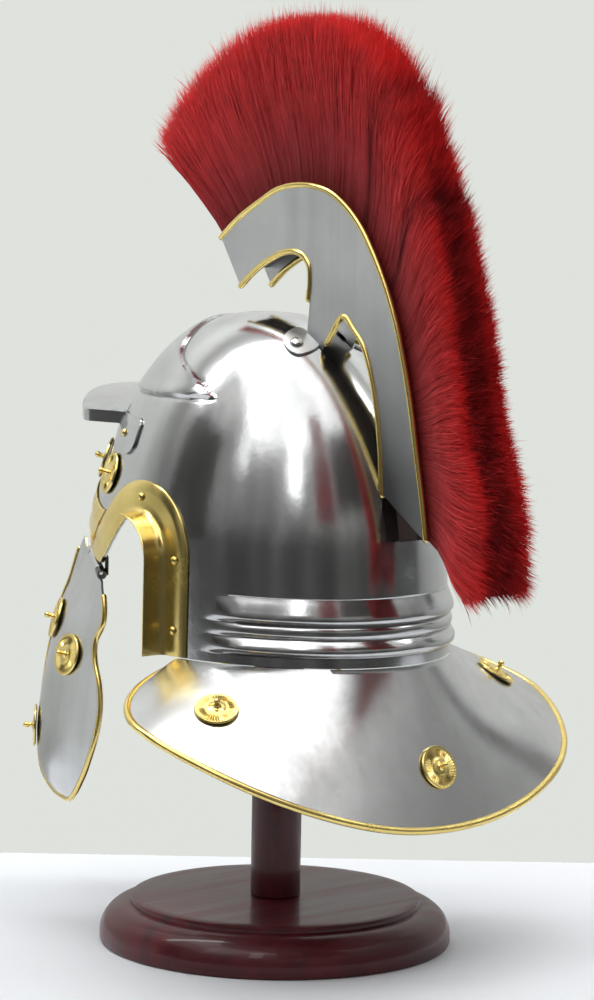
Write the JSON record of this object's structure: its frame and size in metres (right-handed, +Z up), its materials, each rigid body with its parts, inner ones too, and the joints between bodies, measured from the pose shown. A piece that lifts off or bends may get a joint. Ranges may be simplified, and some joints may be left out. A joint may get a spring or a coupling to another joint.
{
  "type": "roman legionary helmet on display stand",
  "caption": "Steel legionary helmet with brass trim, hinged cheek guards, wide neck guard and a red hair crest, resting on a turned wooden stand.",
  "frame": {"origin": "centre of the stand's underside, on the surface it rests on", "axes": "+Z up, -Y the way the face looks, +X the wearer's left"},
  "size_m": [0.3212, 0.36, 0.5696],
  "materials": {
    "polished_steel": "polished, with faint streaks",
    "crest_steel": "satin",
    "brass": "polished",
    "varnished_wood": "glossy dark red varnish",
    "core_wood": "matt",
    "horsehair": "fibrous, soft sheen"
  },
  "bodies": {
    "root": {"bowl": "polished_steel", "ear_guard_left": "brass", "ear_rivet_top_left": "brass", "ear_rivet_middle_left": "brass", "ear_rivet_low_left": "brass", "ear_guard_right": "brass", "ear_rivet_top_right": "brass", "ear_rivet_middle_right": "brass", "ear_rivet_low_right": "brass", "brow_band": "brass", "brow_rosette_side_left": "brass", "brow_rosette_front_left": "brass", "brow_rosette_side_right": "brass", "brow_rosette_front_right": "brass", "brow_peak": "polished_steel", "peak_rivet_left": "brass", "peak_rivet_right": "brass", "neck_guard": "polished_steel", "neck_guard_edging": "brass", "neck_rosette_centre": "brass", "neck_rosette_left": "brass", "neck_rosette_right": "brass", "hinge_left": "polished_steel", "hinge_right": "polished_steel", "crest_plate_left": "crest_steel", "crest_edging_outer_left": "brass", "crest_edging_arch_left": "brass", "crest_edging_hook_left": "brass", "crest_rivet_left": "polished_steel", "crest_plate_right": "crest_steel", "crest_edging_outer_right": "brass", "crest_edging_arch_right": "brass", "crest_edging_hook_right": "brass", "crest_rivet_right": "polished_steel", "crest_block": "core_wood", "plume": "horsehair", "stand_base": "varnished_wood", "stand_post": "varnished_wood"},
    "cheek_left": {"cheek_guard_left": "polished_steel", "cheek_edging_left": "brass", "cheek_rosette_upper_left": "brass", "cheek_rosette_middle_left": "brass", "cheek_rosette_lower_left": "brass"},
    "cheek_right": {"cheek_guard_right": "polished_steel", "cheek_edging_right": "brass", "cheek_rosette_upper_right": "brass", "cheek_rosette_middle_right": "brass", "cheek_rosette_lower_right": "brass"}
  },
  "joints": [
    {"name": "cheek_left_hinge", "type": "hinge", "parent": "root", "child": "cheek_left", "pos_m": [0.07625, -0.08662, 0.23398], "axis": [-0.4618, -0.8431, 0.2756], "range_deg": [-10, 85]},
    {"name": "cheek_right_hinge", "type": "hinge", "parent": "root", "child": "cheek_right", "pos_m": [-0.07625, -0.08662, 0.23398], "axis": [-0.4618, 0.8431, -0.2756], "range_deg": [-10, 85]}
  ]
}
